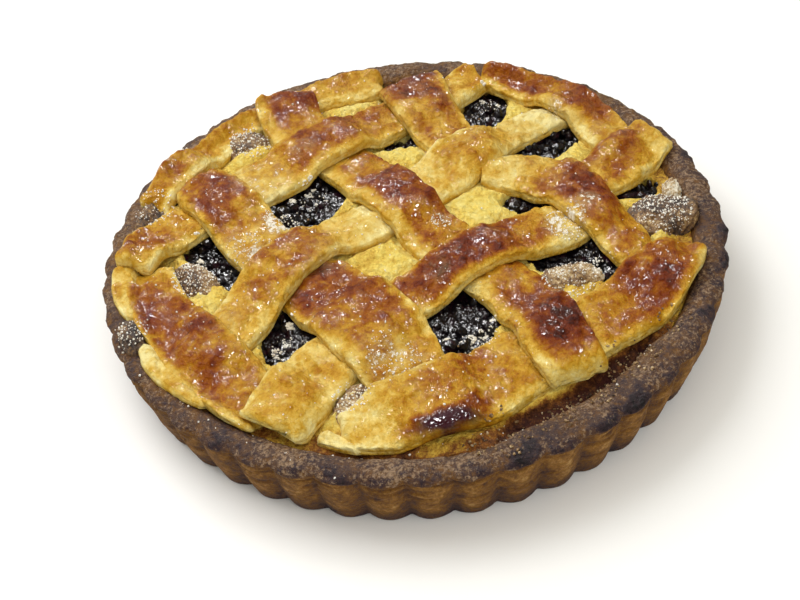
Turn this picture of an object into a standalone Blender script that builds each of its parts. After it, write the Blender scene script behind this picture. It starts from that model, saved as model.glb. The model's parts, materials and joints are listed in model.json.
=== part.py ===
# A bramble and apple pie: a fluted shortcrust case, a sponge layer with pockets of bramble
# fruit, and a woven lattice of puff pastry strips laid over both.
# Metres, +Z up, origin at the middle of the base. Tables are in millimetres.
import math

import bmesh
import bpy
from mathutils import Matrix, Vector, noise

MM = 0.001

# Driving dimensions of the case
RIM_RADIUS = 115 * MM
BASE_RADIUS = 110 * MM
CASE_HEIGHT = 28.2 * MM
CASE_FLOOR = 5 * MM
FLUTE_COUNT = 47
FLUTE_DEPTH = 2.6 * MM
FLUTE_TURN = math.radians(0.28)  # how far the first flute's crest is turned from +X
COLUMNS_PER_FLUTE = 4

# Driving dimensions of the filling and the lattice
GAP = 0.35 * MM
BED_RADIUS = 102 * MM
BED_EDGE_HEIGHT = 24.0 * MM
BED_RISE = 3.2 * MM
STRIP_CROWN = 5.2 * MM
STRIP_EDGE = 2.4 * MM
STRIP_STEP = 9 * MM
CROSSING_LIFT = 5.9 * MM
RAMP_INSIDE = 1 * MM
RAMP_OUTSIDE = 10 * MM
POCKET_FLOOR = 14 * MM
FRUIT_BELOW_BED = 1.5 * MM
FRUIT_CLEARANCE = 0.5  # millimetres, like the table that it is taken from
FRUIT_BUMP = 0.8 * MM
FRUIT_BUMP_SPACING = 5.5 * MM
MOUND_ROOT = 1.5 * MM  # how deep a joined mound starts inside the sponge
DOME_SEGMENTS = 12
DOME_RINGS = 6
POCKET_SIDES = 14
SPONGE_SIDES = 48

# Case section from the outer foot, over the rounded rim, to the inner floor: radius and height.
CASE_SECTION = (
    (BASE_RADIUS - 0.8 * MM, 0.0),
    (RIM_RADIUS, CASE_HEIGHT - 5.2 * MM),
    (RIM_RADIUS - 1.4 * MM, CASE_HEIGHT - 1.5 * MM),
    (RIM_RADIUS - 5.5 * MM, CASE_HEIGHT),
    (RIM_RADIUS - 9.4 * MM, CASE_HEIGHT - 0.8 * MM),
    (RIM_RADIUS - 11.6 * MM, CASE_HEIGHT - 3.2 * MM),
    (RIM_RADIUS - 12.6 * MM, CASE_HEIGHT - 6.7 * MM),
    (RIM_RADIUS - 15.5 * MM, CASE_FLOOR),
)

# Lattice strips: points of the centre line with the width there, and the strips that each
# one is laid over. The a strips run one way across the pie and the b strips the other.
STRIPS = {
    "strip_a1": (
        (
            (-98, 34, 11), (-89, 48, 12), (-77, 62, 13), (-64, 77, 10), (-47, 89, 10),
            (-29, 95, 13), (-17, 98, 14), (-8, 99, 12),
        ),
        ("strip_b2",),
    ),
    "strip_a2": (
        (
            (-103, -3, 14), (-98, 10, 18), (-85, 24, 22), (-72, 33, 25), (-56, 42, 26),
            (-41, 51, 25), (-24, 61, 24), (-8, 71, 23), (8, 80, 22), (22, 88, 19), (32, 94, 15),
        ),
        ("strip_b1", "strip_b3"),
    ),
    "strip_a3": (
        (
            (-72, -45, 20), (-63, -33, 22), (-53, -19, 23), (-43, -7, 21), (-30, 2, 20),
            (-15, 9, 21), (0, 20, 21), (14, 32, 24), (28, 43, 22), (41, 52, 16), (55, 61, 15),
            (69, 67, 13),
        ),
        ("strip_b2", "strip_b4"),
    ),
    "strip_a4": (
        (
            (-53, -88, 23), (-46, -76, 25), (-37, -64, 25), (-25, -52, 24), (-12, -40, 22),
            (0, -31, 21), (13, -23, 20), (27, -15, 20), (41, -8, 22), (54, -4, 22), (65, 2, 19),
        ),
        ("strip_b1", "strip_b3"),
    ),
    "strip_a5": (
        (
            (-29, -92, 16), (-17, -88, 24), (-4, -85, 27), (11, -80, 29), (27, -72, 28),
            (42, -64, 27), (57, -56, 26), (70, -49, 26), (82, -39, 25), (92, -29, 20),
            (99, -21, 15),
        ),
        ("strip_b2", "strip_b5"),
    ),
    "strip_a6": (
        (
            (70, 20, 19), (80, 27, 22), (90, 34, 20), (98, 41, 14),
        ),
        ("strip_b6",),
    ),
    "strip_b1": (
        (
            (-97, -2, 16), (-95, -13, 19), (-91, -25, 22), (-84, -38, 24), (-74, -53, 26),
            (-63, -68, 25), (-53, -79, 22),
        ),
        ("strip_a3",),
    ),
    "strip_b2": (
        (
            (-81, 43, 17), (-76, 37, 24), (-71, 30, 24), (-63, 17, 25), (-56, 5, 25),
            (-47, -8, 25), (-36, -21, 30), (-26, -34, 33), (-18, -46, 33), (-11, -58, 32),
            (-5, -71, 28), (1, -84, 24),
        ),
        ("strip_a2", "strip_a4"),
    ),
    "strip_b3": (
        (
            (-46, 92, 24), (-42, 78, 25), (-36, 65, 24), (-27, 54, 21), (-18, 42, 22),
            (-9, 28, 24), (0, 14, 23), (8, -1, 23), (18, -14, 22), (28, -27, 22), (36, -39, 23),
            (42, -52, 24), (46, -66, 24), (50, -79, 22),
        ),
        ("strip_a1", "strip_a3", "strip_a5"),
    ),
    "strip_b4": (
        (
            (6, 98, 26), (9, 85, 26), (13, 71, 24), (19, 57, 22), (26, 44, 18),
        ),
        ("strip_a2",),
    ),
    "strip_b5": (
        (
            (35, 27, 9), (43, 27, 17), (51, 24, 22), (60, 16, 23), (68, 3, 21), (75, -11, 19),
            (81, -24, 17), (87, -35, 14),
        ),
        ("strip_a4", "strip_a6"),
    ),
    "strip_b6": (
        (
            (42, 94, 10), (49, 88, 12), (57, 81, 14), (67, 71, 16), (75, 61, 17), (80, 50, 18),
            (84, 40, 17),
        ),
        ("strip_a3",),
    ),
}

# Pockets of fruit: centre, half length, half width and the angle of the length in degrees.
POCKETS = {
    "bramble_fruit_1": (-38, 31, 17, 13, 80),
    "bramble_fruit_2": (-73, 2, 18, 8, -61),
    "bramble_fruit_3": (-45, -41, 15, 10, 75),
    "bramble_fruit_4": (14, -43, 19, 13, 70),
    "bramble_fruit_5": (62, -18, 20, 14, -20),
    "bramble_fruit_6": (45, 13, 8, 6, 0),
    "bramble_fruit_7": (36, 77, 14, 8, 85),
    "bramble_fruit_8": (57, 49, 15, 9, 35),
    "bramble_fruit_9": (87, 16, 7, 6, 30),
    "bramble_fruit_10": (3, 60, 10, 4, 20),
}

# Mounds of sponge that rise through the gaps of the lattice: centre, half sizes, angle, height.
SPONGE_MOUNDS = (
    (28, 12, 8, 9, 0, 4.5),
    (1, 46, 5, 4, 20, 4.0),
    (-11, -10, 6, 5.5, 20, 4.0),
    (-24, 22, 2, 6, 10, 3.5),
    (48, 73, 4, 4, 60, 4.0),
    (70, 40, 3, 5, 0, 4.0),
)

# Loose pieces that lie on the filling or the rim, with the same values as the mounds.
LAID_PIECES = {
    "crumb_mound_1": (-58.5, 67, 8, 5, 45, 6.0),
    "crumb_mound_2": (-100.5, 26.5, 4.5, 2.2, 65, 4.5),
    "crumb_mound_3": (-80, -9, 9, 4, -57, 6.0),
    "crumb_mound_4": (94, -3, 9, 9.5, 0, 8.0),
    "crumb_mound_5": (54, -34, 7, 3.5, 5, 5.5),
    "crumb_mound_6": (-25, -77, 4.5, 4, 40, 4.0),
    "crumb_mound_7": (99, 12, 3, 5, 0, 5.0),
    "edge_berry": (-103, -36, 8, 3.8, -68, 5.0),
    "edge_flake": (-93, -54, 10, 3, -59, 3.5),
}


def clear_scene():
    for thing in list(bpy.data.objects):
        bpy.data.objects.remove(thing, do_unlink=True)


def new_collection(name):
    made = bpy.data.collections.new(name)
    bpy.context.scene.collection.children.link(made)
    return made


def new_material(name, colour, roughness):
    made = bpy.data.materials.new(name)
    made.use_nodes = True
    shader = made.node_tree.nodes["Principled BSDF"]
    shader.inputs["Base Color"].default_value = (*colour, 1.0)
    shader.inputs["Roughness"].default_value = roughness
    return made


def new_object(name, bm, collection, material=None):
    bmesh.ops.recalc_face_normals(bm, faces=bm.faces)
    mesh = bpy.data.meshes.new(name)
    bm.to_mesh(mesh)
    bm.free()
    made = bpy.data.objects.new(name, mesh)
    collection.objects.link(made)
    if material:
        mesh.materials.append(material)
        mesh.shade_smooth()
    return made


def smooth_step(value, low, high):
    share = min(max((value - low) / (high - low), 0.0), 1.0)
    return share * share * (3.0 - 2.0 * share)


def spin_section(points, steps):
    """A closed body from a section that starts and ends on the axis."""
    bm = bmesh.new()
    verts = [bm.verts.new((radius, 0.0, height)) for radius, height in points]
    edges = [bm.edges.new(pair) for pair in zip(verts, verts[1:])]
    bmesh.ops.spin(
        bm,
        geom=verts + edges,
        cent=(0, 0, 0),
        axis=(0, 0, 1),
        angle=2 * math.pi,
        steps=steps,
        use_merge=True,
    )
    bmesh.ops.remove_doubles(bm, verts=bm.verts, dist=1e-6)
    return bm


def flute_share(radius, height):
    """How much of the flute depth is felt at a point of the case's section."""
    if height < CASE_HEIGHT - 5.5 * MM:
        return 1.0 if radius > BASE_RADIUS - 2 * MM else 0.0
    return smooth_step(radius, RIM_RADIUS - 9 * MM, RIM_RADIUS - 1.5 * MM)


def make_case(collection, material):
    section = [(0.0, 0.0), *CASE_SECTION, (0.0, CASE_FLOOR)]
    bm = spin_section(section, FLUTE_COUNT * COLUMNS_PER_FLUTE)
    for vert in bm.verts:
        radius = math.hypot(vert.co.x, vert.co.y)
        if radius < RIM_RADIUS / 2:
            continue
        lobe = abs(math.cos(FLUTE_COUNT * math.atan2(vert.co.y, vert.co.x) / 2))
        inset = FLUTE_DEPTH * (1.0 - lobe) * flute_share(radius, vert.co.z)
        vert.co.xy *= 1.0 - inset / radius
    turn = Matrix.Rotation(FLUTE_TURN, 3, "Z")
    bmesh.ops.rotate(bm, verts=bm.verts, cent=(0, 0, 0), matrix=turn)
    return new_object("pastry_case", bm, collection, material)


def bed_height(radius):
    return BED_EDGE_HEIGHT + BED_RISE * (1.0 - (radius / BED_RADIUS) ** 2)


def ground_height(x, y):
    """Top of the sponge inside the case, and of the rim beyond it."""
    radius = math.hypot(x, y)
    on_rim = smooth_step(radius, BED_RADIUS - 3 * MM, BED_RADIUS + 4 * MM)
    rim = CASE_HEIGHT + 0.1 * MM
    return bed_height(min(radius, BED_RADIUS)) * (1.0 - on_rim) + rim * on_rim


def route_points(knots):
    """Points of a smooth curve through the knots, as (x, y, width) in metres."""
    ends = [Vector(knot) * MM for knot in knots]
    ends = [2 * ends[0] - ends[1]] + ends + [2 * ends[-1] - ends[-2]]
    points = []
    for before, start, end, after in zip(ends, ends[1:], ends[2:], ends[3:]):
        count = max(1, round((end - start).to_2d().length / STRIP_STEP))
        for step in range(count):
            t = step / count
            points.append(
                0.5
                * (
                    2 * start
                    + (end - before) * t
                    + (2 * before - 5 * start + 4 * end - after) * t**2
                    + (3 * start - before - 3 * end + after) * t**3
                )
            )
    points.append(ends[-2])
    return points


def route_sides(points):
    """The unit vector across the route at each point."""
    sides = []
    for index in range(len(points)):
        ahead = points[min(index + 1, len(points) - 1)] - points[max(index - 1, 0)]
        sides.append(Vector((-ahead.y, ahead.x)).normalized())
    return sides


def distance_outside(points, x, y):
    """How far a place is outside a strip's edge, or less than nothing inside it."""
    best = 1e9
    place = Vector((x, y))
    for start, end in zip(points, points[1:]):
        run = (end - start).to_2d()
        t = min(max((place - start.to_2d()).dot(run) / run.length_squared, 0.0), 1.0)
        half_width = (start.z + (end.z - start.z) * t) / 2
        best = min(best, (place - start.to_2d() - run * t).length - half_width)
    return best


def crossing_lift(routes, over, x, y):
    """How far a strip is raised at a place by the strips that it is laid over."""
    lift = 0.0
    for name in over:
        outside = distance_outside(routes[name], x, y)
        lift = max(lift, CROSSING_LIFT * (1.0 - smooth_step(outside, -RAMP_INSIDE, RAMP_OUTSIDE)))
    return lift


def make_strip(name, routes, collection, material):
    points, over = routes[name], STRIPS[name][1]
    sides = route_sides(points)
    last = len(points) - 1
    bm = bmesh.new()
    bmesh.ops.create_grid(bm, x_segments=last, y_segments=3, size=0.5)
    raised = bmesh.ops.extrude_face_region(bm, geom=bm.faces[:])["geom"]
    tops = {item for item in raised if isinstance(item, bmesh.types.BMVert)}
    for vert in bm.verts:
        index = round((vert.co.x + 0.5) * last)
        across = vert.co.y * 2
        place = points[index].to_2d() + sides[index] * across * points[index].z / 2
        height = ground_height(*place) + GAP + crossing_lift(routes, over, *place)
        if vert in tops:
            height += STRIP_EDGE + (STRIP_CROWN - STRIP_EDGE) * (1.0 - across * across)
        vert.co = (*place, height)
    return new_object(name, bm, collection, material)


def oval(bm, centre_x, centre_y, half_length, half_width, angle):
    """Turns the unit shape in bm into an oval at a place in millimetres."""
    move = Matrix.Translation((centre_x * MM, centre_y * MM, 0.0))
    turn = Matrix.Rotation(math.radians(angle), 4, "Z")
    size = Matrix.Diagonal((half_length * MM, half_width * MM, 1.0, 1.0))
    bmesh.ops.transform(bm, matrix=move @ turn @ size, verts=bm.verts)


def mound(values, foot):
    """A dome whose foot follows the ground, just clear of it or a little inside it."""
    centre_x, centre_y, half_length, half_width, angle, height = values
    bm = bmesh.new()
    bmesh.ops.create_uvsphere(bm, u_segments=DOME_SEGMENTS, v_segments=DOME_RINGS, radius=1.0)
    oval(bm, centre_x, centre_y, half_length, half_width, angle)
    for vert in bm.verts:
        rise = max(vert.co.z, 0.0) * height * MM
        wobble = 1.0 + 0.12 * noise.noise(vert.co / (4 * MM))
        vert.co.z = ground_height(vert.co.x, vert.co.y) + rise * wobble + foot
    return bm


def make_fruit(name, collection, material):
    centre_x, centre_y, half_length, half_width, angle = POCKETS[name]
    bm = bmesh.new()
    bmesh.ops.create_uvsphere(bm, u_segments=DOME_SEGMENTS, v_segments=DOME_RINGS, radius=1.0)
    oval(bm, centre_x, centre_y, half_length - FRUIT_CLEARANCE, half_width - FRUIT_CLEARANCE, angle)
    top = bed_height(math.hypot(centre_x, centre_y) * MM) - FRUIT_BELOW_BED
    floor = POCKET_FLOOR + GAP
    for vert in bm.verts:
        bump = FRUIT_BUMP * noise.noise(vert.co / FRUIT_BUMP_SPACING)
        share = (1.0 + math.copysign(abs(vert.co.z) ** 0.5, vert.co.z)) / 2
        vert.co.z = floor + share * (top - floor + bump)
    return new_object(name, bm, collection, material)


def make_sponge(collection, helpers, material):
    rings = [(BED_RADIUS * share, bed_height(BED_RADIUS * share)) for share in (1, 0.8, 0.55, 0.28)]
    foot = [(0.0, CASE_FLOOR + GAP), (RIM_RADIUS - 16 * MM, CASE_FLOOR + GAP)]
    bm = spin_section(foot + rings + [(0.0, bed_height(0.0))], SPONGE_SIDES)
    sponge = new_object("sponge_filling", bm, collection, material)
    shapers = []
    for number, values in enumerate(SPONGE_MOUNDS, 1):
        joined = new_object(f"join_mound_{number}", mound(values, -MOUND_ROOT), helpers)
        shapers.append((joined, "UNION"))
    for name, values in POCKETS.items():
        bm = bmesh.new()
        bmesh.ops.create_cone(
            bm, cap_ends=True, segments=POCKET_SIDES, radius1=1, radius2=1, depth=2 * CASE_HEIGHT
        )
        oval(bm, *values)
        bmesh.ops.translate(bm, verts=bm.verts, vec=(0, 0, POCKET_FLOOR + CASE_HEIGHT))
        shapers.append((new_object(f"cut_{name}", bm, helpers), "DIFFERENCE"))
    for helper, operation in shapers:
        helper.hide_render = True
        helper.display_type = "WIRE"
        boolean = sponge.modifiers.new(helper.name, "BOOLEAN")
        boolean.operation = operation
        boolean.object = helper
    return sponge


def make_pie():
    clear_scene()
    pie = new_collection("bramble_pie")
    helpers = new_collection("helpers")
    shortcrust = new_material("Shortcrust", (0.20, 0.115, 0.055), 0.75)
    puff = new_material("Glazed puff pastry", (0.62, 0.30, 0.07), 0.35)
    sponge = new_material("Almond sponge", (0.80, 0.58, 0.18), 0.85)
    fruit = new_material("Bramble fruit", (0.02, 0.006, 0.012), 0.25)
    crumb = new_material("Sugared crumb", (0.36, 0.26, 0.17), 0.85)
    make_case(pie, shortcrust)
    make_sponge(pie, helpers, sponge)
    for name in POCKETS:
        make_fruit(name, pie, fruit)
    routes = {name: route_points(knots) for name, (knots, _) in STRIPS.items()}
    for name in STRIPS:
        make_strip(name, routes, pie, puff)
    laid_materials = {"edge_berry": fruit, "edge_flake": puff}
    for name, values in LAID_PIECES.items():
        new_object(name, mound(values, GAP), pie, laid_materials.get(name, crumb))


make_pie()
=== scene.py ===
# A bramble and apple pie: a fluted shortcrust case, a yellow sponge filling with pockets of
# baked brambles, and a woven lattice of egg-washed puff pastry strips, dusted with sugar.
# Shapes are worked out in millimetres and stored in metres.
import itertools
import json
import math

import bmesh
import bpy
import numpy as np
from mathutils import Matrix, Vector
from mathutils.bvhtree import BVHTree

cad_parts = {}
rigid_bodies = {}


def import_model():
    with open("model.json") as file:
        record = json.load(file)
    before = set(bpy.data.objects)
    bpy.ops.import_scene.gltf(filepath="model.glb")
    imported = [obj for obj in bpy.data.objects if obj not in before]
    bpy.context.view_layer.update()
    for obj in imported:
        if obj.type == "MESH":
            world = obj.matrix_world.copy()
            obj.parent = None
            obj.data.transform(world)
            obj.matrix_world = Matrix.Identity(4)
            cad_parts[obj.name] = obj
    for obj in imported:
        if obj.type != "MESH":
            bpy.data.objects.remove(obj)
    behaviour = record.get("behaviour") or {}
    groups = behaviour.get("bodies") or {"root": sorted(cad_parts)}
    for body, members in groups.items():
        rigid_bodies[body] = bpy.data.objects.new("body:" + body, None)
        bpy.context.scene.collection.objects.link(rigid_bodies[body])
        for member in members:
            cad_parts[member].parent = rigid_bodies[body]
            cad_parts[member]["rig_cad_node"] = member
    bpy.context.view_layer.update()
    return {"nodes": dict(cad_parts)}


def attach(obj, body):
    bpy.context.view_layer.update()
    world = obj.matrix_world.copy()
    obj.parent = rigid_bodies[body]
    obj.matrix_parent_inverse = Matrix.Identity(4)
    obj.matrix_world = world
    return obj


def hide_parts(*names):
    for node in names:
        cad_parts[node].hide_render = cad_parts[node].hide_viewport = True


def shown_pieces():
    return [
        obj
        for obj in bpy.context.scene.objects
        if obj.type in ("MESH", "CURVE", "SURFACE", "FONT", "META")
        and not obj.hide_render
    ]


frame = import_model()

mm = 0.001
stageFolder = bpy.context.scene.collection


# Rises smoothly from 0 at low to 1 at high.
def smoothStep(value, low, high):
    share = np.clip((value - low) / (high - low), 0, 1)
    return share * share * (3 - 2 * share)


# Large odd numbers that stir whole-number cells until they look random.
stir = {"axes": (73856093, 19349663, 83492791), "seed": 40503, "first": 1274126177, "second": 668265263}


# A repeatable value from 0 to 1 for each whole-number cell and seed.
def cellValue(cells, seed):
    mixed = (cells * np.array(stir["axes"])[:cells.shape[1]]).sum(1) + seed * stir["seed"]
    mixed = (mixed ^ (mixed >> 13)) * stir["first"] & 0x7FFFFFFF
    mixed = (mixed ^ (mixed >> 11)) * stir["second"] & 0x7FFFFFFF
    return ((mixed ^ (mixed >> 15)) & 0xFFFF) / 0xFFFF


# Soft lumps about size apart, from -1 to 1. Places are rows of 2 or 3 numbers.
def lumps(places, size, seed=0):
    scaled = places / size
    base = np.floor(scaled).astype(np.int64)
    part = scaled - base
    part = part * part * (3 - 2 * part)
    total = np.zeros(len(places))
    for corner in itertools.product((0, 1), repeat=places.shape[1]):
        weight = np.where(corner, part, 1 - part).prod(1)
        total += weight * cellValue(base + np.array(corner), seed)
    return total * 2 - 1


# Round blisters about size apart: 1 at the middle of one, 0 between them.
def blisters(places, size, seed=0, share=1.0):
    scaled = places / size
    base = np.floor(scaled).astype(np.int64)
    best = np.zeros(len(places))
    axes = range(places.shape[1])
    for step in itertools.product((-1, 0, 1), repeat=places.shape[1]):
        cells = base + np.array(step)
        offset = np.stack([cellValue(cells, seed + 11 * axis + 1) for axis in axes], 1)
        away = np.linalg.norm(cells + offset - scaled, axis=1)
        kept = cellValue(cells, seed + 77) < share
        reach = 0.45 + 0.35 * cellValue(cells, seed + 55)
        best = np.maximum(best, np.where(kept, np.clip(1 - (away / reach) ** 2, 0, 1), 0))
    return best


# A smooth curve through rows of numbers, about step apart in its first two.
def smoothRoute(knots, step):
    rows = np.array(knots, float)
    rows = np.vstack([2 * rows[0] - rows[1], rows, 2 * rows[-1] - rows[-2]])
    made = []
    for before, start, end, after in zip(rows, rows[1:], rows[2:], rows[3:]):
        count = max(1, round(float(np.linalg.norm((end - start)[:2])) / step))
        for t in np.arange(count) / count:
            bend = (2 * before - 5 * start + 4 * end - after) * t ** 2
            swing = (3 * start - before - 3 * end + after) * t ** 3
            made.append((2 * start + (end - before) * t + bend + swing) / 2)
    return np.array(made + [rows[-2]])


# How far each place is from a route, less half of the route's width there.
def outsideRoute(route, places):
    best = np.full(len(places), 1e9)
    for start, end in zip(route, route[1:]):
        run = end[:2] - start[:2]
        share = np.clip(((places - start[:2]) @ run) / (run @ run), 0, 1)
        away = np.linalg.norm(places - start[:2] - share[:, None] * run, axis=1)
        best = np.minimum(best, away - (start[2] + share * (end[2] - start[2])) / 2)
    return best


# How far each place is outside an oval: middle, half length, half width and angle.
def outsideOval(oval, places):
    centreX, centreY, halfLength, halfWidth, angle = oval
    turn = math.radians(angle)
    offset = places - (centreX, centreY)
    along = offset @ (math.cos(turn), math.sin(turn)) / halfLength
    across = offset @ (-math.sin(turn), math.cos(turn)) / halfWidth
    return (np.hypot(along, across) - 1) * min(halfLength, halfWidth)


# The places at these distances along and across the middle of an oval.
def onOval(oval, along, across):
    turn = math.radians(oval[4])
    return np.stack([
        oval[0] + along * math.cos(turn) - across * math.sin(turn),
        oval[1] + along * math.sin(turn) + across * math.cos(turn)], 1)


# Bends rows and columns from -1 to 1 into a round sheet without corners.
def roundOff(x, y):
    return x * np.sqrt(1 - y * y / 2), y * np.sqrt(1 - x * x / 2)


def fromMiddle(places):
    return np.hypot(places[:, 0], places[:, 1])


def meshPoints(mesh):
    flat = np.empty(len(mesh.vertices) * 3)
    mesh.vertices.foreach_get("co", flat)
    return flat.reshape(-1, 3)


def setMeshPoints(mesh, points):
    mesh.vertices.foreach_set("co", np.ascontiguousarray(points).ravel())


# Keeps a value for each vertex, which the piece's material reads.
def paint(mesh, name, values):
    layer = mesh.attributes.get(name) or mesh.attributes.new(name, "FLOAT", "POINT")
    layer.data.foreach_set("value", np.clip(values, 0, 1).astype(np.float32))


def meshFrom(bm, name):
    mesh = bpy.data.meshes.new(name)
    bm.to_mesh(mesh)
    bm.free()
    return mesh


def newGrid(alongCount, acrossCount, size=0.5):
    bm = bmesh.new()
    bmesh.ops.create_grid(bm, x_segments=alongCount, y_segments=acrossCount, size=size)
    return bm


# Moves what an extrusion made up or down.
def shiftExtruded(bm, extruded, height):
    made = [item for item in extruded["geom"] if isinstance(item, bmesh.types.BMVert)]
    bmesh.ops.translate(bm, verts=made, vec=(0, 0, height))


# Finishes a mesh as a closed piece that moves with the pie. Edges closer than weld are joined.
def finishPiece(mesh, finish, replaced=(), weld=0.0):
    bm = bmesh.new()
    bm.from_mesh(mesh)
    if weld:
        bmesh.ops.remove_doubles(bm, verts=bm.verts, dist=weld)
        bmesh.ops.holes_fill(bm, edges=[edge for edge in bm.edges if edge.is_boundary], sides=0)
        bmesh.ops.recalc_face_normals(bm, faces=bm.faces)
    for face in bm.faces:
        face.smooth = True
    bm.to_mesh(mesh)
    bm.free()
    piece = bpy.data.objects.new(mesh.name, mesh)
    stageFolder.objects.link(piece)
    mesh.materials.append(finish)
    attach(piece, "root")
    for node in replaced:
        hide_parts(node)
    return piece


# Joins many small shapes into one mesh, a batch at a time, which is much faster.
def stampMesh(name, makeOne, places, batch=120, **settings):
    whole = bmesh.new()
    for start in range(0, len(places), batch):
        part = bmesh.new()
        for place in places[start:start + batch]:
            makeOne(part, matrix=place, **settings)
        held = meshFrom(part, "held")
        whole.from_mesh(held)
        bpy.data.meshes.remove(held)
    return meshFrom(whole, name)


# An sRGB hex colour as the linear one that shaders take.
def tone(hexColour):
    parts = [int(hexColour[i:i + 2], 16) / 255 for i in (1, 3, 5)]
    return (*[c / 12.92 if c <= 0.04045 else ((c + 0.055) / 1.055) ** 2.4 for c in parts], 1.0)


# The scale of a pattern on Object coordinates, from the real size of its features.
def featureSize(millimetres):
    return 1 / (millimetres * mm)


# Links sockets to sources. Where a source is a node, its first output in use is meant.
def connect(tree, node, links):
    for socket, source in links.items():
        if isinstance(source, bpy.types.Node):
            source = next(output for output in source.outputs if output.enabled)
        tree.links.new(source, node.inputs[socket])


# Adds a node. Settings are its own values, its sockets' or its colour stops, in order of place.
def addNode(tree, kind, settings, links):
    node = tree.nodes.new("ShaderNode" + kind)
    for name, value in settings.items():
        if name == "stops":
            ramp = node.color_ramp.elements
            for place, colour in value[1:-1]:
                ramp.new(place)
            for stop, (place, colour) in zip(ramp, value):
                stop.position = place
                stop.color = tone(colour)
        elif isinstance(name, str) and hasattr(node, name):
            setattr(node, name, value)
        else:
            node.inputs[name].default_value = value
    connect(tree, node, links)
    return node


def newFinish(name, roughness, ior, specular=0.5, coat=0.0, coatRoughness=0.1):
    finish = bpy.data.materials.new(name)
    finish.use_nodes = True
    tree = finish.node_tree
    shader = tree.nodes["Principled BSDF"]
    for socket, value in {
            "Roughness": roughness, "IOR": ior, "Specular IOR Level": specular,
            "Coat Weight": coat, "Coat Roughness": coatRoughness}.items():
        shader.inputs[socket].default_value = value
    place = addNode(tree, "TexCoord", {}, {}).outputs["Object"]
    return finish, tree, shader, place


# The values painted on the vertices, for a material to read.
def painted(tree, names):
    return [addNode(tree, "Attribute", {"attribute_name": name}, {}).outputs["Fac"] for name in names]


# Where things lie, in millimetres from the middle of the base.
pie = {
    "rimRadius": 115, "baseRadius": 110, "height": 28.2, "fluteCount": 47, "fluteTurn": 0.28,
    "bedRadius": 102, "bedEdge": 24.0, "bedRise": 3.2, "pocketFloor": 14,
}

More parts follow.
